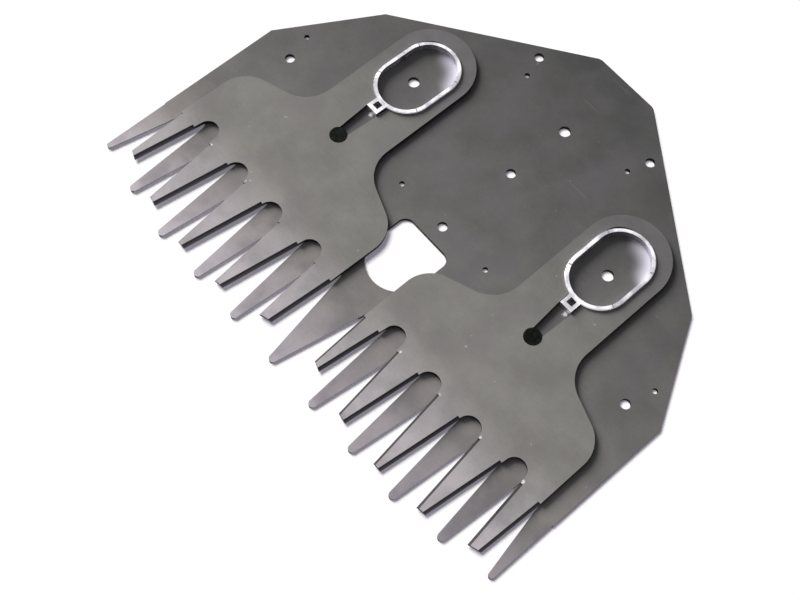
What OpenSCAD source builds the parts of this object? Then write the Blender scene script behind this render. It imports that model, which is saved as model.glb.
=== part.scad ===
// Cutter set of a rolling grass shear: a fixed comb plate that carries two swinging toothed blades.
// Units are millimetres. The origin is on the underside of the comb plate, at the middle of its
// width and depth. The teeth point to -Y, the drive end is at +Y and the blades lie on top, at +Z.
// Lengths called "from the tips" are measured backwards from the front end of the middle teeth.

/* [Comb plate] */
// Width across the straight sides
plate_w = 300.6; // [290:0.1:320]
// Depth from the middle tooth tips to the rear edge
plate_d = 248.7; // [240:0.1:265]
// Sheet thickness
plate_t = 2.5; // [1.5:0.1:4]
// Where the straight sides end, from the tips
side_end = 121.7; // [110:0.1:130]
// Half width at the second corner of the sloping rear sides
rear_corner_x = 118.3; // [110:0.1:130]
// Where that second corner is, from the tips
rear_corner_y = 177; // [165:0.1:185]
// Half width of the straight rear edge
rear_edge_x = 20.3; // [10:0.1:35]
// Rounding of the two corners of the rear edge
rear_edge_r = 6; // [1:0.5:12]
// Depth of the shallow grinding along the two outer flanks
side_grind = 0.4; // [0.1:0.1:1]
// Where that grinding ends, from the tips
side_grind_end = 49.2; // [30:0.1:60]

/* [Comb teeth] */
// Distance from one tooth tip to the next
comb_pitch = 30; // [29:0.1:31]
// Radius of the rounded tips
comb_tip_r = 2.1; // [1.2:0.1:2.4]
// Radius of the two outermost tips
outer_tip_r = 1.6; // [1.2:0.1:2.4]
// How far the second tooth from each side is set back
second_tip_back = 4.3; // [0:0.1:8]
// How far the outermost tooth is set back
outer_tip_back = 10.3; // [0:0.1:16]
// Flank angle of the middle tooth
middle_flank = 10.7; // [6:0.1:12]
// Where the rounded ends of the gaps lie, from the tips
comb_gap_end = 60; // [52:1:66]
// Width of the ground relief under each flank
comb_bevel_w = 1.2; // [0.4:0.1:2]
// Height of the upright land above that relief
comb_land = 0.3; // [0.1:0.1:1]
// Where the relief under the flanks ends, from the tips
comb_bevel_end = 48; // [30:1:50]

/* [Window and holes] */
// Width of the window in the middle
window_w = 34.2; // [26:0.1:40]
// Front end of the window, from the tips
window_front = 66.5; // [65:0.1:75]
// Straight rear edge of the window, from the tips
window_rear = 104.2; // [96:0.1:107]
// Rounding of the window's rear corners
window_r = 5.5; // [1:0.1:10]
// Diameter of the fixing holes
screw_d = 5.5; // [4:0.1:7]
// Distance of the front fixing holes from the sides
front_screw_edge = 20.6; // [16:0.1:25]
// Place of the front fixing holes, from the tips
front_screw_y = 118.1; // [112:0.1:122]
// Distance between the two rear fixing holes
rear_screw_w = 85.8; // [75:0.1:95]
// Distance of the rear fixing holes from the rear edge
rear_screw_edge = 25.4; // [20:0.1:33]
// Place of the front hole on the middle line, from the tips
middle_screw_y = 113.8; // [111:0.1:120]
// Place of the rear hole on the middle line, from the tips
middle_screw_y2 = 162.1; // [150:0.1:170]
// Diameter of the shaft holes
shaft_d = 6.5; // [5:0.1:8]
// Distance from each pivot back to its drive shaft hole
shaft_reach = 53.2; // [48:0.1:58]
// Place of the idler shaft hole on the middle line, from the tips
idler_y = 201.6; // [190:0.1:210]
// Diameter of the small locating holes
locate_d = 3; // [2:0.1:4]
// Distance of the outer locating holes from the sides
outer_locate_edge = 15.9; // [12:0.1:20]
// Distance of the rear locating holes from the rear edge
rear_locate_edge = 38.4; // [34:0.1:45]

/* [Pivots] */
// Distance between the two pivots
pivot_w = 150; // [146:1:158]
// Place of the pivots, from the tips
pivot_y = 106.7; // [100:0.1:112]
// Diameter of the pivot pins
pin_d = 9.6; // [8:0.1:11]
// Height of the pins above the blades
pin_proud = 0.3; // [0.1:0.1:1]
// Diameter of the riveted stem in the plate
stem_d = 7; // [5:0.1:7.5]
// Chamfer on the top edge of the pins
pin_chamfer = 0.5; // [0.2:0.1:1]
// Radial running clearance between a pin and its blade
pin_play = 0.05; // [0.02:0.01:0.1]
// Radial clearance round the riveted stem
stem_play = 0.01; // [0.005:0.005:0.05]
// Rest angle of the left blade, positive is counterclockwise
left_rest = -1; // [-8:0.1:8]
// Rest angle of the right blade, positive is counterclockwise
right_rest = 0.7; // [-8:0.1:8]

/* [Blades] */
// Sheet thickness
blade_t = 2.5; // [1.5:0.1:4]
// Half width across the body
body_hw = 63.2; // [62:0.1:64.5]
// Slope of the shoulders
shoulder_slope = 20; // [10:1:30]
// Where the shoulder line meets the side of the arm, behind the pivot
neck_y = -0.3; // [-6:0.1:6]
// Radius of the concave necks
neck_r = 20; // [10:1:26]
// Radius of the rounded shoulders
shoulder_r = 18; // [8:1:22]
// Distance from one tooth to the next
tooth_pitch = 29.4; // [28.5:0.1:29.8]
// Sideways offset of the row of teeth
tooth_shift = -1; // [-2:0.1:2]
// Half width of a tooth at its tip
tooth_tip_hw = 2.5; // [1.5:0.1:3.5]
// Flank angle of the teeth
tooth_flank = 7.1; // [5:0.1:8.5]
// Flank angle of the two outer sides
outer_flank = 2.9; // [0:0.1:5]
// Distance from the pivot to the front of the tip arc
tip_reach = 102; // [98:0.5:106]
// Radius of the arc that trims the tips
tip_arc_r = 175; // [140:1:220]
// Sideways place of the middle of that arc
tip_arc_x = 4; // [-6:0.5:6]
// Distance from the pivot to the ends of the gaps
tooth_gap_end = 50; // [46:0.5:56]
// Radius of the curve on which the gaps end
gap_arc_r = 300; // [200:10:500]
// Width of the ground bevel along each flank
bevel_w = 1.5; // [0.5:0.1:2]
// Height of the flat land below the bevel
bevel_land = 0.3; // [0.1:0.1:1]
// Distance from the pivot to the rear end of the bevels
bevel_end = 56; // [52:0.5:64]

// Distance from the pivot to the centre of the arm's round end
arm_end_y = 66; // [62:0.5:70]
// Turn of the left blade's arm against its row of teeth, positive is counterclockwise
left_arm_turn = 1; // [-2:0.1:2]

/* [Drive rings] */
// Distance from the pivot to the middle of the drive slot
ring_y = 55.2; // [52:0.1:58]
// Sideways offset of the drive slot from the middle of the arm
ring_x = -0.3; // [-1:0.1:1]
// Half distance between the centres of the slot's round ends
ring_half = 8.3; // [6:0.1:10]
// Inner radius of the ring
ring_r = 15.4; // [13:0.1:16]
// Wall of the ring's sleeve
sleeve_wall = 1.3; // [0.8:0.1:1.5]
// Width of the rim on top
rim_w = 2.1; // [2:0.1:3]
// Height of the rim above the blade
rim_h = 1.6; // [0.8:0.1:3]
// Chamfer on the outer top edge of the rim
rim_chamfer = 0.4; // [0.1:0.05:0.6]
// Clearance between the sleeve and the blade
ring_fit = 0.1; // [0.05:0.05:0.3]
// Radius of the bay in the blade's opening behind the far corner of the ring
bay_r = 13; // [12.5:0.1:13.5]
// How far the centre of that bay is moved out from the slot's round end
bay_shift = 6; // [5:0.1:6.5]
// Direction in which it is moved
bay_turn = 135; // [125:1:145]
// Gap between the ring and the comb plate
ring_gap = 0.15; // [0.05:0.05:0.5]
// Margin of the blade's arm round the rim
arm_margin = 6.8; // [5:0.1:9]
// Width of the locking tab
tab_w = 7.7; // [6:0.1:9]
// Length of the locking tab in front of the rim
tab_len = 6.5; // [4:0.1:8]
// Side of the square hole in the tab
tab_hole = 3.8; // [2:0.1:4]
// Solid edge of the tab in front of that hole
tab_lip = 2.3; // [1.5:0.1:3]
// Half width of the blade's locking slot at the tab
slot_hw = 4.5; // [4.2:0.1:5]
// Half width of the locking slot at the pivot
slot_pin_hw = 3; // [2:0.1:4]
// Depth of the four shallow witness marks on the rim
mark_depth = 0.15; // [0.05:0.05:0.4]
// Width of those marks
mark_w = 0.6; // [0.3:0.1:1.5]
// Turn of the marks round the slot's round ends
mark_turn = 20; // [5:1:40]

/* [Hidden] */
$fn = 96;
// Reach of a cutter past the face that it cuts
over = 2;
// Extra radius of an arc that runs into a straight edge, so that the two cross and don't just touch
blend = 0.02;
// How far the cutter of a ground bevel reaches past it on either side, as a share of its width
bevel_over = 0.3;
// Finer steps for arcs of a large radius
fine_fn = 360;
// Tips of the comb from the middle tooth to the outermost: small sideways offset of each one,
// angle of the flank that faces the middle and angle of the flank that faces the side
comb_tip_shift = [0, 0.6, 0.3, 0.1, -0.1];
comb_inner_flank = [middle_flank, 4.2, 5.2, 6.2, 7.8, 11.5];
comb_outer_flank = [middle_flank, 6.9, 6.3, 4.9, 3.7];
comb_last = len(comb_tip_shift);
// Locating holes as half distance and place from the tips: outer, rear and inner pair
locate_holes = [[plate_w / 2 - outer_locate_edge, 133.9], [38.7, plate_d - rear_locate_edge],
                [32.3, 114.2]];
teeth_per_blade = 5;
blade_z = plate_t;
rim_r = ring_r + rim_w;
tab_front = ring_y - ring_half - rim_r - tab_len;
arm_hw = rim_r + arm_margin;

// Place in the model of a length from the tips
function from_tips(d) = d - plate_d / 2;

// Unit vector into the gap from a tooth on the left (side 1) or on the right (side -1)
function gap_normal(a, side) = [side * cos(a), -sin(a)];

// Unit vector backwards along the same flank
function flank_dir(a, side) = [side * sin(a), cos(a)];

// Radius of the circle that ends a gap at y_end and touches both of its flanks
function gap_radius(p, a, q, b, y_end) =
    (q.x - p.x - (y_end - p.y) * tan(a) - (y_end - q.y) * tan(b))
    / ((1 - sin(a)) / cos(a) + (1 - sin(b)) / cos(b));

// Centre of that circle
function gap_centre(p, a, r, y_end) = [p.x + (r + (y_end - r - p.y) * sin(a)) / cos(a), y_end - r];

// The gap between two flanks: p and q are points on them, a and b their angles
module gap_shape(p, a, q, b, y_end) {
    r = gap_radius(p, a, q, b, y_end);
    c = gap_centre(p, a, r, y_end);
    polygon([p, c - r * gap_normal(a, 1), c, c - r * gap_normal(b, -1), q]);
    translate(c) circle(r + blend);
}

function unit(v) = v / norm(v);

// Half the angle of the corner p between its edges towards a and b
function half_angle(p, a, b) = acos(unit(a - p) * unit(b - p)) / 2;

// Distance from that corner to where a circle of radius r touches the edges
function corner_reach(p, a, b, r) = r / tan(half_angle(p, a, b));

// Centre of that circle
function corner_centre(p, a, b, r) =
    p + unit(unit(a - p) + unit(b - p)) * r / sin(half_angle(p, a, b));

// What is cut off to round the convex corner p between its edges towards a and b
module corner_trim(p, a, b, r) {
    c = corner_centre(p, a, b, r);
    reach = corner_reach(p, a, b, r);
    difference() {
        polygon([p - over * unit(c - p), p + reach * unit(a - p), c, p + reach * unit(b - p)]);
        translate(c) circle(r + blend);
    }
}

// A wedge along a flank, with its sloping face through the line from point p in direction
// flank_dir(a, side), rising or falling by rise over the width w
module flank_wedge(p, a, side, z, w, rise, y_end) {
    length = (y_end - p.y) / cos(a);
    near = bevel_over;
    far = 1 + bevel_over;
    translate([p.x, p.y, z])
        rotate([0, 0, -side * a])
            translate([0, length, 0])
                rotate([90, 0, 0])
                    linear_extrude(length + over)
                        polygon([[near * side * w, -near * rise], [-far * side * w, far * rise],
                                 [near * side * w, far * rise]]);
}

// An oblong with round ends, its length along Y
module oblong(half, r) {
    translate([0, half]) circle(r);
    translate([0, -half]) circle(r);
    square([2 * (r - blend), 2 * half], center = true);
}

// The same narrowing upwards from radius r1 to r2 over the height h
module oblong_taper(half, r1, r2, h) {
    for (y = [-half, half])
        translate([0, y, 0]) cylinder(h, r1, r2);
    translate([0, half, 0])
        rotate([90, 0, 0])
            linear_extrude(2 * half)
                polygon([[blend - r1, 0], [r1 - blend, 0], [r2 - blend, h], [blend - r2, h]]);
}

// Comb plate

// Radius of the tip circle of comb tooth k, counted from the middle to the right
function tip_r(k) = k < comb_last ? comb_tip_r : outer_tip_r;

// Centre of that circle
function comb_tip(k) =
    k < comb_last
    ? [k * comb_pitch + comb_tip_shift[k],
       from_tips(k == comb_last - 1 ? second_tip_back : 0) + comb_tip_r]
    : [plate_w / 2 - side_grind - outer_tip_r, from_tips(outer_tip_back) + outer_tip_r];

// Point where the flank of tooth k leaves its tip circle, on the side away from the middle
function comb_right(k) = comb_tip(k) + tip_r(k) * gap_normal(comb_outer_flank[k], 1);

// The same on the side towards the middle
function comb_left(k) = comb_tip(k) + tip_r(k) * gap_normal(comb_inner_flank[k], -1);

// Everything in front of and between comb teeth k and k + 1
module comb_gap(k) {
    p = comb_right(k);
    q = comb_left(k + 1);
    front = from_tips(-over);
    difference() {
        union() {
            gap_shape(p, comb_outer_flank[k], q, comb_inner_flank[k + 1], from_tips(comb_gap_end));
            polygon([[comb_tip(k).x, front], comb_tip(k), p, q, comb_tip(k + 1),
                     [comb_tip(k + 1).x, front]]);
        }
        translate(comb_tip(k)) circle(tip_r(k) + blend);
        translate(comb_tip(k + 1)) circle(tip_r(k + 1) + blend);
    }
}

// What is taken off outside the outermost tooth
module comb_corner() {
    tip = comb_tip(comb_last);
    side = plate_w / 2 + over;
    difference() {
        translate([tip.x, from_tips(-over)])
            square([side - tip.x, tip.y - from_tips(-over)]);
        translate(tip) circle(outer_tip_r + blend);
    }
    translate([plate_w / 2 - side_grind, from_tips(-over)])
        square([side_grind + over, side_grind_end + over]);
}

// Half of the outline without teeth, window or holes
module half_blank() {
    side = [rear_corner_x, from_tips(rear_corner_y)];
    corner = [rear_edge_x, from_tips(plate_d)];
    difference() {
        polygon([[0, from_tips(0)], [plate_w / 2, from_tips(0)], [plate_w / 2, from_tips(side_end)],
                 side, corner, [0, from_tips(plate_d)]]);
        corner_trim(corner, side, [0, from_tips(plate_d)], rear_edge_r);
    }
}

module window() {
    r = window_w / 2;
    front = from_tips(window_front) + r;
    rear = from_tips(window_rear);
    translate([0, front]) circle(r + blend);
    difference() {
        translate([-r, front]) square([window_w, rear - front]);
        for (side = [-1, 1])
            corner_trim([side * r, rear], [0, rear], [side * r, front], window_r);
    }
}

module plate_holes() {
    for (side = [-1, 1]) {
        translate([side * (plate_w / 2 - front_screw_edge), from_tips(front_screw_y)])
            circle(d = screw_d);
        translate([side * rear_screw_w / 2, from_tips(plate_d - rear_screw_edge)])
            circle(d = screw_d);
        translate([side * pivot_w / 2, from_tips(pivot_y + shaft_reach)]) circle(d = shaft_d);
        translate([side * pivot_w / 2, from_tips(pivot_y)]) circle(d = stem_d + 2 * stem_play);
        for (h = locate_holes)
            translate([side * h.x, from_tips(h.y)]) circle(d = locate_d);
    }
    translate([0, from_tips(middle_screw_y)]) circle(d = screw_d);
    translate([0, from_tips(middle_screw_y2)]) circle(d = screw_d);
    translate([0, from_tips(idler_y)]) circle(d = shaft_d);
}

// Relief ground under the flanks of the teeth on one half of the comb
module comb_bevels() {
    z = plate_t - comb_land;
    end = from_tips(comb_bevel_end);
    for (k = [0 : comb_last - 1])
        flank_wedge(comb_right(k), comb_outer_flank[k], 1, z, comb_bevel_w, -z, end);
    for (k = [1 : comb_last])
        flank_wedge(comb_left(k), comb_inner_flank[k], -1, z, comb_bevel_w, -z, end);
}

module base_plate() {
    color([0.40, 0.40, 0.40])
        difference() {
            linear_extrude(plate_t)
                difference() {
                    union() {
                        half_blank();
                        mirror([1, 0]) half_blank();
                    }
                    for (flip = [0, 1])
                        mirror([flip, 0]) {
                            for (k = [0 : comb_last - 1]) comb_gap(k);
                            comb_corner();
                        }
                    window();
                    plate_holes();
                }
            for (flip = [0, 1])
                mirror([flip, 0, 0]) comb_bevels();
        }
}

// Blades, drawn about their pivot with the teeth towards -Y

// Sideways place of blade tooth k, counted from the left
function tooth_x(k) = tooth_shift + (k - (teeth_per_blade - 1) / 2) * tooth_pitch;

// Point on the right flank (side 1) or the left flank (side -1) of tooth k, level with its tip
function tooth_point(k, side) = [tooth_x(k) + side * tooth_tip_hw, -tip_reach];

// Where the gap to the right of tooth k ends
function tooth_gap_y(k) =
    let (x = (tooth_x(k) + tooth_x(k + 1)) / 2 - tip_arc_x)
    gap_arc_r - tooth_gap_end - sqrt(gap_arc_r * gap_arc_r - x * x);

// The gap to the right of tooth k, drawn on past the tips
module tooth_gap(k) {
    p = tooth_point(k, 1) - over * flank_dir(tooth_flank, 1);
    q = tooth_point(k + 1, -1) - over * flank_dir(tooth_flank, -1);
    gap_shape(p, tooth_flank, q, tooth_flank, tooth_gap_y(k));
}

// Point at the front of an outer side
function outer_point(side) =
    [side * (body_hw - (tip_reach + over - bevel_end) * tan(outer_flank)), -tip_reach - over];

// Right half of the blade's blank: arm turned by turn, neck, shoulder and outer side
module blade_half(turn) {
    up = [-sin(turn), cos(turn)];
    across = [cos(turn), sin(turn)];
    down = [cos(shoulder_slope), -sin(shoulder_slope)];
    straight_neck = [arm_hw, neck_y];
    neck = straight_neck + down * (arm_hw - straight_neck * across) / (down * across);
    reach = corner_reach(neck, neck + up, neck + down, neck_r);
    shoulder = neck + down * (body_hw - neck.x) / cos(shoulder_slope);
    arm_top = (arm_end_y + arm_hw + over) * up;
    difference() {
        polygon([[0, -tip_reach - over], arm_top, arm_top + arm_hw * across, neck + reach * up,
                 neck + reach * down, shoulder, [body_hw, -bevel_end], outer_point(1)]);
        translate(corner_centre(neck, neck + up, neck + down, neck_r)) circle(neck_r + blend);
        corner_trim(shoulder, neck, [body_hw, -bevel_end], shoulder_r);
    }
}

// What is taken off round the end of the arm
module arm_trim() {
    difference() {
        translate([0, arm_end_y + arm_hw]) square([3 * arm_hw, 2 * arm_hw], center = true);
        translate([0, arm_end_y]) circle(arm_hw + blend);
    }
}

// Everything in front of the arc on which the teeth end
module tip_trim() {
    difference() {
        translate([0, -tip_reach]) square([4 * body_hw, tip_reach], center = true);
        translate([tip_arc_x, tip_arc_r - tip_reach]) circle(tip_arc_r, $fn = fine_fn);
    }
}

module blade_outline(turn) {
    difference() {
        union() {
            blade_half(turn);
            mirror([1, 0]) blade_half(-turn);
        }
        rotate(turn) arm_trim();
        for (k = [0 : teeth_per_blade - 2]) tooth_gap(k);
        tip_trim();
    }
}

// Opening for the ring with its bay, and the locking slot that leads on to the pivot hole
module arm_opening() {
    translate([ring_x, ring_y]) oblong(ring_half, ring_r + sleeve_wall + ring_fit);
    translate([ring_x, ring_y + ring_half] + bay_shift * [cos(bay_turn), sin(bay_turn)])
        circle(bay_r);
    polygon([[-slot_pin_hw, 0], [slot_pin_hw, 0], [ring_x + slot_hw, tab_front],
             [ring_x + slot_hw, ring_y], [ring_x - slot_hw, ring_y], [ring_x - slot_hw, tab_front]]);
}

// The ground bevels on both flanks of every tooth
module blade_bevels() {
    rise = blade_t - bevel_land;
    for (k = [0 : teeth_per_blade - 1], side = [-1, 1]) {
        outer = side * (k - (teeth_per_blade - 1) / 2) == (teeth_per_blade - 1) / 2;
        start = outer ? outer_point(side) : tooth_point(k, side) - over * flank_dir(tooth_flank, side);
        flank_wedge(start, outer ? outer_flank : tooth_flank, side, bevel_land, bevel_w, rise,
                    -bevel_end);
    }
}

module blade(turn) {
    color([0.58, 0.57, 0.55])
        difference() {
            linear_extrude(blade_t)
                difference() {
                    blade_outline(turn);
                    circle(pin_d / 2 + pin_play);
                    arm_opening();
                }
            blade_bevels();
        }
}

// Drive rings, drawn like the blades with z = 0 on the underside of the blade

module ring_marks() {
    for (sy = [-1, 1], sx = [-1, 1])
        translate([ring_x, ring_y + sy * ring_half, blade_t + rim_h - mark_depth])
            rotate([0, 0, sx * sy * mark_turn])
                translate([sx * ring_r, -mark_w / 2, 0])
                    mirror([sx < 0 ? 1 : 0, 0, 0])
                        translate([-over, 0, 0])
                            cube([rim_w + 2 * over, mark_w, over]);
}

module ring() {
    sleeve_r = ring_r + sleeve_wall;
    hole_y = tab_front + tab_lip + tab_hole / 2;
    color([0.86, 0.86, 0.88])
        difference() {
            union() {
                translate([ring_x, ring_y, ring_gap])
                    linear_extrude(blade_t - ring_gap + rim_h) oblong(ring_half, sleeve_r);
                translate([ring_x, ring_y, blade_t])
                    linear_extrude(rim_h - rim_chamfer) oblong(ring_half, rim_r);
                translate([ring_x, ring_y, blade_t + rim_h - rim_chamfer])
                    oblong_taper(ring_half, rim_r, rim_r - rim_chamfer, rim_chamfer);
                translate([ring_x - tab_w / 2, tab_front, ring_gap])
                    cube([tab_w, ring_y - tab_front, blade_t - ring_gap + rim_h]);
            }
            translate([ring_x, ring_y, -over])
                linear_extrude(blade_t + rim_h + 2 * over) oblong(ring_half, ring_r);
            translate([ring_x - tab_hole / 2, hole_y - tab_hole / 2, -over])
                cube([tab_hole, tab_hole, blade_t + rim_h + 2 * over]);
            ring_marks();
        }
}

// Pivot pins, with z = 0 on the underside of the plate

module pivot_pin() {
    head = blade_t + pin_proud;
    color([0.10, 0.10, 0.10]) {
        rotate_extrude()
            polygon([[0, 0], [stem_d / 2, 0], [stem_d / 2, plate_t], [pin_d / 2, plate_t],
                     [pin_d / 2, plate_t + head - pin_chamfer],
                     [pin_d / 2 - pin_chamfer, plate_t + head], [0, plate_t + head]]);
    }
}

// Places a child at the left (side -1) or right (side 1) pivot, at height z
module at_pivot(side, z, angle) {
    translate([side * pivot_w / 2, from_tips(pivot_y), z])
        rotate([0, 0, angle])
            children();
}

module left_blade() at_pivot(-1, blade_z, left_rest) blade(left_arm_turn);
module right_blade() at_pivot(1, blade_z, right_rest) blade(0);
module left_ring() at_pivot(-1, blade_z, left_rest) ring();
module right_ring() at_pivot(1, blade_z, right_rest) ring();
module left_pivot_pin() at_pivot(-1, 0, 0) pivot_pin();
module right_pivot_pin() at_pivot(1, 0, 0) pivot_pin();

base_plate();
left_blade();
right_blade();
left_ring();
right_ring();
left_pivot_pin();
right_pivot_pin();
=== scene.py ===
"""Looks of the cutter set: materials, floor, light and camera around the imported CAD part.

Lengths are metres, in the part's own frame: +X along the row of teeth, +Y backwards, +Z up.
"""

import bpy
from mathutils import Matrix, Vector

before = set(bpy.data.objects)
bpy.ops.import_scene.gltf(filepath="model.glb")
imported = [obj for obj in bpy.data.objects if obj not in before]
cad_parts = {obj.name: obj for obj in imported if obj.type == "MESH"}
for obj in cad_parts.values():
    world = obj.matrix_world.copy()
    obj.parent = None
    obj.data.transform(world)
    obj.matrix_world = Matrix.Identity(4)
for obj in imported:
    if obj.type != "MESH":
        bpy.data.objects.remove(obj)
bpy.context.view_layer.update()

# Camera: width of the photograph and focal length in pixels, place of the lens and its axes
PHOTO_WIDTH = 800
FOCAL_PIXELS = 1279.6
SENSOR_MM = 36.0
CAMERA_PLACE = (0.1941, -0.23324, 0.59375)
CAMERA_RIGHT = (0.65562, 0.75442, 0.03188)
CAMERA_UP = (-0.70293, 0.59437, 0.39064)
CAMERA_BACK = (0.27576, -0.27852, 0.91999)

# Light: a soft cool sky, a low broad lamp and a faint high one from the left for the object, and a
# steeper lamp for the floor, so that the object's shadow on the floor stays short
SKY_COLOR = (0.84, 0.79, 1.0)
SKY_STRENGTH = 0.09
LAMP_COLOR = (1.0, 0.985, 0.955)
HIGH_LAMP = {"strength": 0.40, "angle": 0.80, "from": (-0.50, -0.03, 0.85)}
LOW_LAMP = {"strength": 6.0, "angle": 0.60, "from": (-0.88, -0.03, 0.45)}
FLOOR_LAMP = {"strength": 3.15, "angle": 0.50, "from": (-0.46, -0.05, 0.88)}

# Floor: just below the part, with a faint glow that only the camera sees
FLOOR_SIZE = 3.0
FLOOR_DROP = 0.0001
FLOOR_COLOR = (0.90, 0.90, 0.91)
FLOOR_GLOW = 0.18
FLOOR_GLOW_COLOR = (0.92, 0.87, 1.0)

# Heights of the plate's and the blades' tops, and of the floors of the shallow marks on the rims
PLATE_TOP = 0.0025
BLADE_TOP = 0.0050
RIM_MARK_FLOOR = 0.00645
HEIGHT_MARGIN = 0.0001
RIM_MARK_MARGIN = 0.00003

# Usual range of a noise node, and of the edge mask's dot product from sharp edge to open face
NOISE_LOW, NOISE_HIGH = 0.3, 0.7
EDGE_SHARP, EDGE_OPEN = 0.80, 0.97

# Sheet steel: painted shade on the sides and tooth flanks, and marks. A face is a side below
# SIDE_NORMAL and looks away from the lamp above AWAY_NORMAL. Behind FLANK_END lie the ends of the
# gaps, in front the flanks of the teeth.
SIDE_NORMAL = 0.97
AWAY_NORMAL = 0.2
FLANK_END, FLANK_START = -0.069, -0.074
# painted shade: color of the sides that face away from the lamp, behind the tooth flanks
SIDE_PAINTED_SHADE = (0.032, 0.031, 0.032)
# painted shade: share of the sheet color kept on sides that face the lamp, at the left and at the
# right, and half the width of the change
LIT_SIDE_LEFT, LIT_SIDE_RIGHT = 0.50, 0.12
LIT_SIDE_HALF = 0.02
# front teeth: where the painted highlight and painted shade across them start and are full, and
# half the row's width
FRONT_BACK, FRONT_FULL = -0.070, -0.090
HALF_WIDTH = 0.15
SCRATCH_TURN = 0.9
SCRATCH_COLOR = (0.62, 0.62, 0.63)
# painted glints: color of the scattered light dots
DOT_COLOR = (0.60, 0.59, 0.58)
# painted glints: color of the small pale marks, and how ragged their rims are
PAINTED_GLINT_COLOR = (0.66, 0.65, 0.65)
PAINTED_GLINT_WOBBLE = 0.0004
WORN_COLOR = (0.50, 0.49, 0.50)

# Painted reflection, a bright crescent of reflected light painted on the plate inside each ring:
# middle of its arc, its direction, and the distances from that middle where it starts, is full, and
# ends under the rim
PAINTED_REFLECTION_CENTRES = ((-0.07419, 0.04584), (0.07392, 0.04584))
PAINTED_REFLECTION_TOWARD = (0.62, 0.78, 0.0)
PAINTED_REFLECTION_FACING = (0.30, 0.95)
PAINTED_REFLECTION_RISE = (0.0035, 0.0150)
PAINTED_REFLECTION_POWER = 1.7
PAINTED_REFLECTION_END = (0.0175, 0.0165)
PAINTED_REFLECTION_COLOR = (0.52, 0.50, 0.58)

# The two kinds of sheet. tones: color at a given y, partly the sheet's own tone and partly painted
# light that rises toward the teeth. front_slope: share by which the front teeth are lighter at the
# far left and at the far right, a painted highlight where above 0 and painted shade where below 0.
# The small pale marks' x, y and radius: painted glints and painted reflections. flank: color of a
# tooth flank at its top and at its bottom height, painted shade.
PLATE = {
    "top": PLATE_TOP,
    # partly the plate's own tone, partly painted light rising toward the teeth
    "tones": ((-0.124, (0.422, 0.393, 0.435)), (-0.100, (0.321, 0.299, 0.318)),
              (-0.078, (0.223, 0.210, 0.206)), (-0.045, (0.154, 0.149, 0.145)),
              (0.00, (0.124, 0.122, 0.121)), (0.124, (0.068, 0.068, 0.068))),
    "tint": (0.115, 0.107, 0.122),
    # painted highlight at the far left and painted shade at the far right of the front teeth
    "front_slope": (0.22, -0.30),
    # painted reflections inside the rings
    "painted_reflection_centres": PAINTED_REFLECTION_CENTRES,
    # painted reflections of light in the slots under the ring tabs
    "marks": ((-0.0744, 0.0046, 0.0019), (0.0762, 0.0040, 0.0019)),
    "flank_top": 0.0025, "flank_bottom": 0.0,
    # painted shade on the tooth flanks: dark at the top height, paler at the bottom
    "flank_dark": (0.12, 0.115, 0.125), "flank_low": (0.25, 0.24, 0.27),
    "grain_turn": 0.0, "roughness": 0.58, "dots": 0.12}
BLADE = {
    "top": BLADE_TOP,
    # partly the blade's own tone, partly painted light rising toward the teeth
    "tones": ((-0.112, (0.432, 0.406, 0.436)), (-0.085, (0.336, 0.317, 0.329)),
              (-0.060, (0.210, 0.205, 0.194)), (0.00, (0.178, 0.175, 0.164)),
              (0.06, (0.129, 0.125, 0.129))),
    "tint": (0.168, 0.160, 0.173),
    "front_slope": (0.0, 0.0),
    "painted_reflection_centres": (),
    # painted glints at the ends of the ground bevels and on the blade
    "marks": ((0.0677, -0.0728, 0.0010), (0.0965, -0.0723, 0.0010), (0.1258, -0.0718, 0.0011),
              (0.0388, -0.0730, 0.0008), (-0.1131, -0.0722, 0.0008), (-0.0847, -0.0725, 0.0008),
              (-0.1093, -0.0504, 0.0005)),
    "flank_top": 0.0044, "flank_bottom": 0.0025,
    # painted shade on the tooth flanks: dark at the top height, paler at the bottom
    "flank_dark": (0.105, 0.100, 0.105), "flank_low": (0.29, 0.28, 0.30),
    "grain_turn": 1.57, "roughness": 0.66, "dots": 0.35}


def new_material(name):
    """An empty node material with its output and principled shader."""
    material = bpy.data.materials.new(name)
    material.use_nodes = True
    nodes = material.node_tree.nodes
    nodes.clear()
    output = nodes.new("ShaderNodeOutputMaterial")
    shader = nodes.new("ShaderNodeBsdfPrincipled")
    material.node_tree.links.new(shader.outputs[0], output.inputs["Surface"])
    return material, shader


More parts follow.
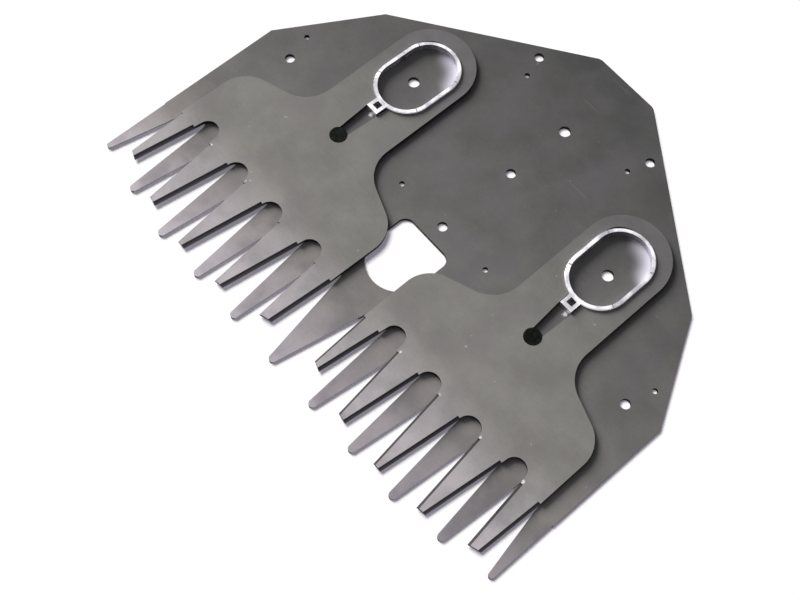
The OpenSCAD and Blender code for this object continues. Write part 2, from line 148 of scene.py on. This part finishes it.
class Graph:
    """Short ways to add nodes to one material."""

    def __init__(self, material):
        self.nodes = material.node_tree.nodes
        self.links = material.node_tree.links

    def link(self, source, target):
        """Joins a socket to a socket, or sets a number on it."""
        if isinstance(source, (int, float)):
            target.default_value = source
        else:
            self.links.new(source, target)

    def math(self, operation, a, b=0.0, c=0.0):
        node = self.nodes.new("ShaderNodeMath")
        node.operation = operation
        for value, socket in zip((a, b, c), node.inputs):
            self.link(value, socket)
        return node.outputs[0]

    def vector(self, operation, a, b=None):
        """Vector math; a dot product or a length gives a number, the rest a vector."""
        node = self.nodes.new("ShaderNodeVectorMath")
        node.operation = operation
        self.links.new(a, node.inputs[0])
        if isinstance(b, tuple):
            node.inputs[1].default_value = b
        elif b is not None:
            self.links.new(b, node.inputs[1])
        return node.outputs["Value" if operation in ("DOT_PRODUCT", "LENGTH") else "Vector"]

    def shade(self, color, factor):
        """The color times a grey factor."""
        node = self.nodes.new("ShaderNodeVectorMath")
        node.operation = "SCALE"
        self.links.new(color, node.inputs[0])
        self.link(factor, node.inputs["Scale"])
        return node.outputs[0]

    def position(self):
        return self.nodes.new("ShaderNodeTexCoord").outputs["Object"]

    def split(self, vector):
        node = self.nodes.new("ShaderNodeSeparateXYZ")
        self.links.new(vector, node.inputs[0])
        return node.outputs

    def scaled(self, vector, scale, turn):
        node = self.nodes.new("ShaderNodeMapping")
        node.inputs["Scale"].default_value = scale
        node.inputs["Rotation"].default_value = (0.0, 0.0, turn)
        self.links.new(vector, node.inputs["Vector"])
        return node.outputs[0]

    def noise(self, vector, scale, detail, roughness):
        node = self.nodes.new("ShaderNodeTexNoise")
        node.inputs["Scale"].default_value = scale
        node.inputs["Detail"].default_value = detail
        node.inputs["Roughness"].default_value = roughness
        self.links.new(vector, node.inputs["Vector"])
        return node.outputs[0]

    def spread(self, value, low, high, to_low=0.0, to_high=1.0, smooth=True):
        """Maps low to to_low and high to to_high, and holds the value outside."""
        node = self.nodes.new("ShaderNodeMapRange")
        node.interpolation_type = "SMOOTHSTEP" if smooth else "LINEAR"
        self.link(value, node.inputs["Value"])
        node.inputs["From Min"].default_value = low
        node.inputs["From Max"].default_value = high
        node.inputs["To Min"].default_value = to_low
        node.inputs["To Max"].default_value = to_high
        return node.outputs[0]

    def vary(self, noise, to_low=0.0, to_high=1.0):
        """Spreads a noise over its usual range."""
        return self.spread(noise, NOISE_LOW, NOISE_HIGH, to_low, to_high)

    def mix(self, share, a, b):
        """Color a at share 0, color b at share 1."""
        node = self.nodes.new("ShaderNodeMix")
        node.data_type = "RGBA"
        self.link(share, node.inputs[0])
        for value, socket in ((a, node.inputs[6]), (b, node.inputs[7])):
            if isinstance(value, tuple):
                socket.default_value = (*value, 1.0)
            else:
                self.links.new(value, socket)
        return node.outputs[2]

    def tones(self, value, stops):
        """Colors at given values, blended in between; stops rise in value."""
        first, last = stops[0][0], stops[-1][0]
        node = self.nodes.new("ShaderNodeValToRGB")
        self.links.new(self.spread(value, first, last, smooth=False), node.inputs[0])
        elements = node.color_ramp.elements
        while len(elements) < len(stops):
            elements.new(0.5)
        for element, (at, color) in zip(elements, stops):
            element.position = (at - first) / (last - first)
            element.color = (*color, 1.0)
        return node.outputs[0]

    def face_normal(self):
        return self.nodes.new("ShaderNodeNewGeometry").outputs["True Normal"]

    def edge(self, radius):
        """1 at the edges, 0 on the open faces."""
        bevel = self.nodes.new("ShaderNodeBevel")
        bevel.samples = 4
        bevel.inputs["Radius"].default_value = radius
        bend = self.vector("DOT_PRODUCT", bevel.outputs[0], self.face_normal())
        return self.spread(bend, EDGE_OPEN, EDGE_SHARP)

    def bump(self, height, strength):
        node = self.nodes.new("ShaderNodeBump")
        node.inputs["Strength"].default_value = strength
        node.inputs["Distance"].default_value = 0.0001
        self.links.new(height, node.inputs["Height"])
        return node.outputs[0]


def scratches(graph, position):
    """Mask of thin lines: noise that is stretched along one direction, cut high."""
    stretched = graph.scaled(position, (25.0, 1500.0, 1.0), SCRATCH_TURN)
    return graph.spread(graph.noise(stretched, 1.0, 2.0, 0.4), 0.72, 0.78)


def painted_ring_reflection(graph, position, centre):
    """Mask of the painted reflection, a bright crescent on the plate's top inside the far right end
    of a ring.
    """
    away = graph.vector("SUBTRACT", position, (*centre, 0.0))
    flat = graph.vector("MULTIPLY", away, (1.0, 1.0, 0.0))
    distance = graph.vector("LENGTH", flat)
    rise = graph.math("POWER", graph.spread(distance, *PAINTED_REFLECTION_RISE), PAINTED_REFLECTION_POWER)
    toward = graph.vector("DOT_PRODUCT", graph.vector("NORMALIZE", flat), PAINTED_REFLECTION_TOWARD)
    mask = graph.math("MULTIPLY", rise, graph.spread(toward, *PAINTED_REFLECTION_FACING))
    mask = graph.math("MULTIPLY", mask, graph.spread(distance, *PAINTED_REFLECTION_END))
    height = graph.split(position)[2]
    top = graph.math("GREATER_THAN", height, PLATE_TOP - HEIGHT_MARGIN)
    return graph.math("MULTIPLY", mask, top)


def painted_glint_mask(graph, position, wobble, centre, radius):
    """Mask of one small painted glint or painted reflection on the sheet, slightly ragged at its
    rim.
    """
    away = graph.vector("LENGTH", graph.vector("SUBTRACT", position, centre))
    return graph.spread(graph.math("ADD", away, wobble), radius, 0.3 * radius)


def sheet_color(graph, place, clouds, tint, kind):
    """The open sheet: tones from front to rear, partly painted light, painted highlight and shade
    across the front teeth, clouds, and patches of a cooler tint.
    """
    # painted highlight to the left and painted shade to the right across the front teeth
    front = graph.spread(place[1], FRONT_BACK, FRONT_FULL)
    slope = graph.spread(place[0], -HALF_WIDTH, HALF_WIDTH, *kind["front_slope"], smooth=False)
    clouds = graph.math("MULTIPLY", clouds, graph.math("MULTIPLY_ADD", front, slope, 1.0))
    sheet = graph.shade(graph.tones(place[1], kind["tones"]), clouds)
    return graph.mix(graph.spread(tint, 0.45, 0.68, 0.0, 0.40), sheet, kind["tint"])


def marked_color(graph, position, sheet, kind):
    """The sheet with scratches, light dots and small pale marks that are painted glints, and
    painted reflections inside the rings.
    """
    color = graph.mix(graph.math("MULTIPLY", scratches(graph, position), 0.08), sheet,
                      SCRATCH_COLOR)
    # scattered light dots, painted glints
    dots = graph.spread(graph.noise(position, 330.0, 1.0, 0.5), 0.79, 0.81)
    color = graph.mix(graph.math("MULTIPLY", dots, kind["dots"]), color, DOT_COLOR)
    # painted reflection: bright crescent of reflected light inside each ring
    for centre in kind["painted_reflection_centres"]:
        color = graph.mix(painted_ring_reflection(graph, position, centre), color, PAINTED_REFLECTION_COLOR)
    wobble = graph.vary(graph.noise(position, 700.0, 2.0, 0.5), -PAINTED_GLINT_WOBBLE, PAINTED_GLINT_WOBBLE)
    # small painted glints and painted reflections
    for x, y, radius in kind["marks"]:
        mask = painted_glint_mask(graph, position, wobble, (x, y, kind["top"]), radius)
        color = graph.mix(mask, color, PAINTED_GLINT_COLOR)
    return color


def side_painted_shade(graph, place, normal, sheet, kind):
    """Painted shade on the sheet's sides: dark away from the lamp, paler tooth flanks, dimmed
    toward the lamp.
    """
    low = graph.spread(place[2], kind["flank_top"], kind["flank_bottom"])
    flank = graph.mix(low, kind["flank_dark"], kind["flank_low"])
    # painted shade: dark sides behind the flanks, flanks dark at the top and paler at the bottom
    away = graph.mix(graph.spread(place[1], FLANK_END, FLANK_START), SIDE_PAINTED_SHADE, flank)
    # painted shade on sides that face the lamp, darker on the right
    lit = graph.spread(place[0], -LIT_SIDE_HALF, LIT_SIDE_HALF, LIT_SIDE_LEFT, LIT_SIDE_RIGHT)
    is_away = graph.math("GREATER_THAN", normal[0], AWAY_NORMAL)
    return graph.mix(is_away, graph.shade(sheet, lit), away)


def steel(name, kind):
    """Dull sheet steel with clouds, fine grain, painted glints and reflections, worn edges and
    painted shade.
    """
    material, shader = new_material(name)
    graph = Graph(material)
    position = graph.position()
    place = graph.split(position)
    normal = graph.split(graph.face_normal())
    mottle = graph.noise(position, 38.0, 5.0, 0.6)
    tint = graph.noise(position, 45.0, 3.0, 0.55)
    fine = graph.noise(position, 900.0, 3.0, 0.6)
    along = graph.scaled(position, (60.0, 2200.0, 60.0), kind["grain_turn"])
    grain = graph.noise(along, 1.0, 3.0, 0.6)
    worn = graph.edge(0.0004)

    clouds = graph.math("ADD", graph.vary(mottle, 0.88, 1.12), graph.vary(grain, -0.02, 0.02))
    clouds = graph.math("ADD", clouds, graph.vary(fine, -0.03, 0.03))
    sheet = sheet_color(graph, place, clouds, tint, kind)
    color = marked_color(graph, position, sheet, kind)
    color = graph.mix(graph.math("MULTIPLY", worn, 0.10), color, WORN_COLOR)
    # painted shade on the sides of the sheet
    is_side = graph.math("LESS_THAN", graph.math("ABSOLUTE", normal[2]), SIDE_NORMAL)
    color = graph.mix(is_side, color, side_painted_shade(graph, place, normal, sheet, kind))
    graph.link(color, shader.inputs["Base Color"])

    shader.inputs["Metallic"].default_value = 0.08
    shader.inputs["Specular IOR Level"].default_value = 0.05
    rough = graph.spread(mottle, 0.25, 0.75, kind["roughness"] - 0.05, kind["roughness"] + 0.07)
    rough = graph.math("ADD", rough, graph.math("MULTIPLY", worn, -0.08))
    graph.link(rough, shader.inputs["Roughness"])
    height = graph.math("ADD", graph.math("MULTIPLY", fine, 0.5), grain)
    graph.link(graph.bump(height, 0.08), shader.inputs["Normal"])
    return material


def ring_metal():
    """Bright plated metal with faint pits, polished edges and darker floors in its shallow marks.
    """
    material, shader = new_material("ring_metal")
    graph = Graph(material)
    position = graph.position()
    cloud = graph.noise(position, 110.0, 4.0, 0.6)
    pits = graph.noise(position, 2600.0, 2.0, 0.5)
    color = graph.mix(graph.spread(cloud, 0.35, 0.65), (0.47, 0.46, 0.50), (0.88, 0.87, 0.90))
    polished = graph.math("MULTIPLY", graph.edge(0.0003), 0.4)
    color = graph.mix(polished, color, (0.78, 0.78, 0.81))
    height = graph.split(position)[2]
    in_mark = graph.math("COMPARE", height, RIM_MARK_FLOOR, RIM_MARK_MARGIN)
    color = graph.mix(in_mark, color, (0.22, 0.22, 0.24))
    graph.link(color, shader.inputs["Base Color"])
    shader.inputs["Metallic"].default_value = 0.85
    graph.link(graph.vary(cloud, 0.26, 0.40), shader.inputs["Roughness"])
    graph.link(graph.bump(pits, 0.1), shader.inputs["Normal"])
    return material


def pin_steel():
    """Blackened steel, mottled, with worn edges."""
    material, shader = new_material("pin_steel")
    graph = Graph(material)
    cloud = graph.noise(graph.position(), 400.0, 4.0, 0.6)
    color = graph.mix(graph.vary(cloud), (0.004, 0.005, 0.004), (0.009, 0.010, 0.009))
    worn = graph.math("MULTIPLY", graph.edge(0.0003), 0.3)
    color = graph.mix(worn, color, (0.12, 0.12, 0.12))
    graph.link(color, shader.inputs["Base Color"])
    shader.inputs["Metallic"].default_value = 1.0
    graph.link(graph.vary(cloud, 0.38, 0.5), shader.inputs["Roughness"])
    graph.link(graph.bump(cloud, 0.1), shader.inputs["Normal"])
    return material


def dress(node, material):
    """Gives a CAD node its material."""
    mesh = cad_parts[node].data
    mesh.materials.clear()
    mesh.materials.append(material)


def add_floor():
    """The pale floor."""
    mesh = bpy.data.meshes.new("floor")
    half = FLOOR_SIZE / 2
    corners = [(-half, -half, 0), (half, -half, 0), (half, half, 0), (-half, half, 0)]
    mesh.from_pydata(corners, [], [(0, 1, 2, 3)])
    floor = bpy.data.objects.new("floor", mesh)
    bpy.context.scene.collection.objects.link(floor)
    floor.location.z = -FLOOR_DROP
    material = bpy.data.materials.new("floor")
    material.use_nodes = True
    nodes, links = material.node_tree.nodes, material.node_tree.links
    nodes.clear()
    diffuse = nodes.new("ShaderNodeBsdfDiffuse")
    diffuse.inputs["Color"].default_value = (*FLOOR_COLOR, 1)
    glow = nodes.new("ShaderNodeEmission")
    glow.inputs["Color"].default_value = (*FLOOR_GLOW_COLOR, 1)
    path = nodes.new("ShaderNodeLightPath")
    level = nodes.new("ShaderNodeMath")
    level.operation = "MULTIPLY"
    level.inputs[1].default_value = FLOOR_GLOW
    links.new(path.outputs["Is Camera Ray"], level.inputs[0])
    links.new(level.outputs[0], glow.inputs["Strength"])
    add = nodes.new("ShaderNodeAddShader")
    links.new(diffuse.outputs[0], add.inputs[0])
    links.new(glow.outputs[0], add.inputs[1])
    output = nodes.new("ShaderNodeOutputMaterial")
    links.new(add.outputs[0], output.inputs["Surface"])
    mesh.materials.append(material)
    return floor


def add_world():
    """Soft sky light; the camera, reflections and glass see plain white."""
    world = bpy.data.worlds.new("world")
    bpy.context.scene.world = world
    world.use_nodes = True
    nodes, links = world.node_tree.nodes, world.node_tree.links
    nodes.clear()
    sky = nodes.new("ShaderNodeBackground")
    sky.inputs["Color"].default_value = (*SKY_COLOR, 1)
    sky.inputs["Strength"].default_value = SKY_STRENGTH
    white = nodes.new("ShaderNodeBackground")
    white.inputs["Color"].default_value = (1, 1, 1, 1)
    white.inputs["Strength"].default_value = 1.0
    path = nodes.new("ShaderNodeLightPath")
    seen = path.outputs["Is Camera Ray"]
    for name in ("Is Glossy Ray", "Is Transmission Ray"):
        larger = nodes.new("ShaderNodeMath")
        larger.operation = "MAXIMUM"
        links.new(seen, larger.inputs[0])
        links.new(path.outputs[name], larger.inputs[1])
        seen = larger.outputs[0]
    mix = nodes.new("ShaderNodeMixShader")
    links.new(seen, mix.inputs[0])
    links.new(sky.outputs[0], mix.inputs[1])
    links.new(white.outputs[0], mix.inputs[2])
    output = nodes.new("ShaderNodeOutputWorld")
    links.new(mix.outputs[0], output.inputs["Surface"])


def add_lamp(name, lamp, floor, floor_state):
    """A sun lamp; floor_state says whether it lights nothing but the floor or all but the floor."""
    light = bpy.data.lights.new(name, "SUN")
    light.energy = lamp["strength"]
    light.color = LAMP_COLOR
    light.angle = lamp["angle"]
    sun = bpy.data.objects.new(name, light)
    sun.rotation_euler = Vector(lamp["from"]).to_track_quat("Z", "Y").to_euler()
    bpy.context.scene.collection.objects.link(sun)
    lit = bpy.data.collections.new(name + "_receivers")
    lit.objects.link(floor)
    lit.collection_objects[0].light_linking.link_state = floor_state
    sun.light_linking.receiver_collection = lit


def add_camera():
    """The camera at the photograph's place and angle, without depth of field."""
    data = bpy.data.cameras.new("camera")
    data.sensor_width = SENSOR_MM
    data.sensor_fit = "HORIZONTAL"
    data.lens = FOCAL_PIXELS * SENSOR_MM / PHOTO_WIDTH
    data.clip_start = 0.01
    camera = bpy.data.objects.new("camera", data)
    turn = Matrix((CAMERA_RIGHT, CAMERA_UP, CAMERA_BACK)).transposed()
    camera.matrix_world = Matrix.Translation(CAMERA_PLACE) @ turn.to_4x4()
    bpy.context.scene.collection.objects.link(camera)
    bpy.context.scene.camera = camera


add_camera()
add_world()
floor = add_floor()
add_lamp("high_lamp", HIGH_LAMP, floor, "EXCLUDE")
add_lamp("low_lamp", LOW_LAMP, floor, "EXCLUDE")
add_lamp("floor_lamp", FLOOR_LAMP, floor, "INCLUDE")

plate_steel = steel("plate_steel", PLATE)
blade_steel = steel("blade_steel", BLADE)
ring = ring_metal()
pin = pin_steel()
dress("base_plate", plate_steel)
for side in ("left", "right"):
    dress(side + "_blade", blade_steel)
    dress(side + "_ring", ring)
    dress(side + "_pivot_pin", pin)

bpy.context.scene.view_settings.view_transform = "Standard"
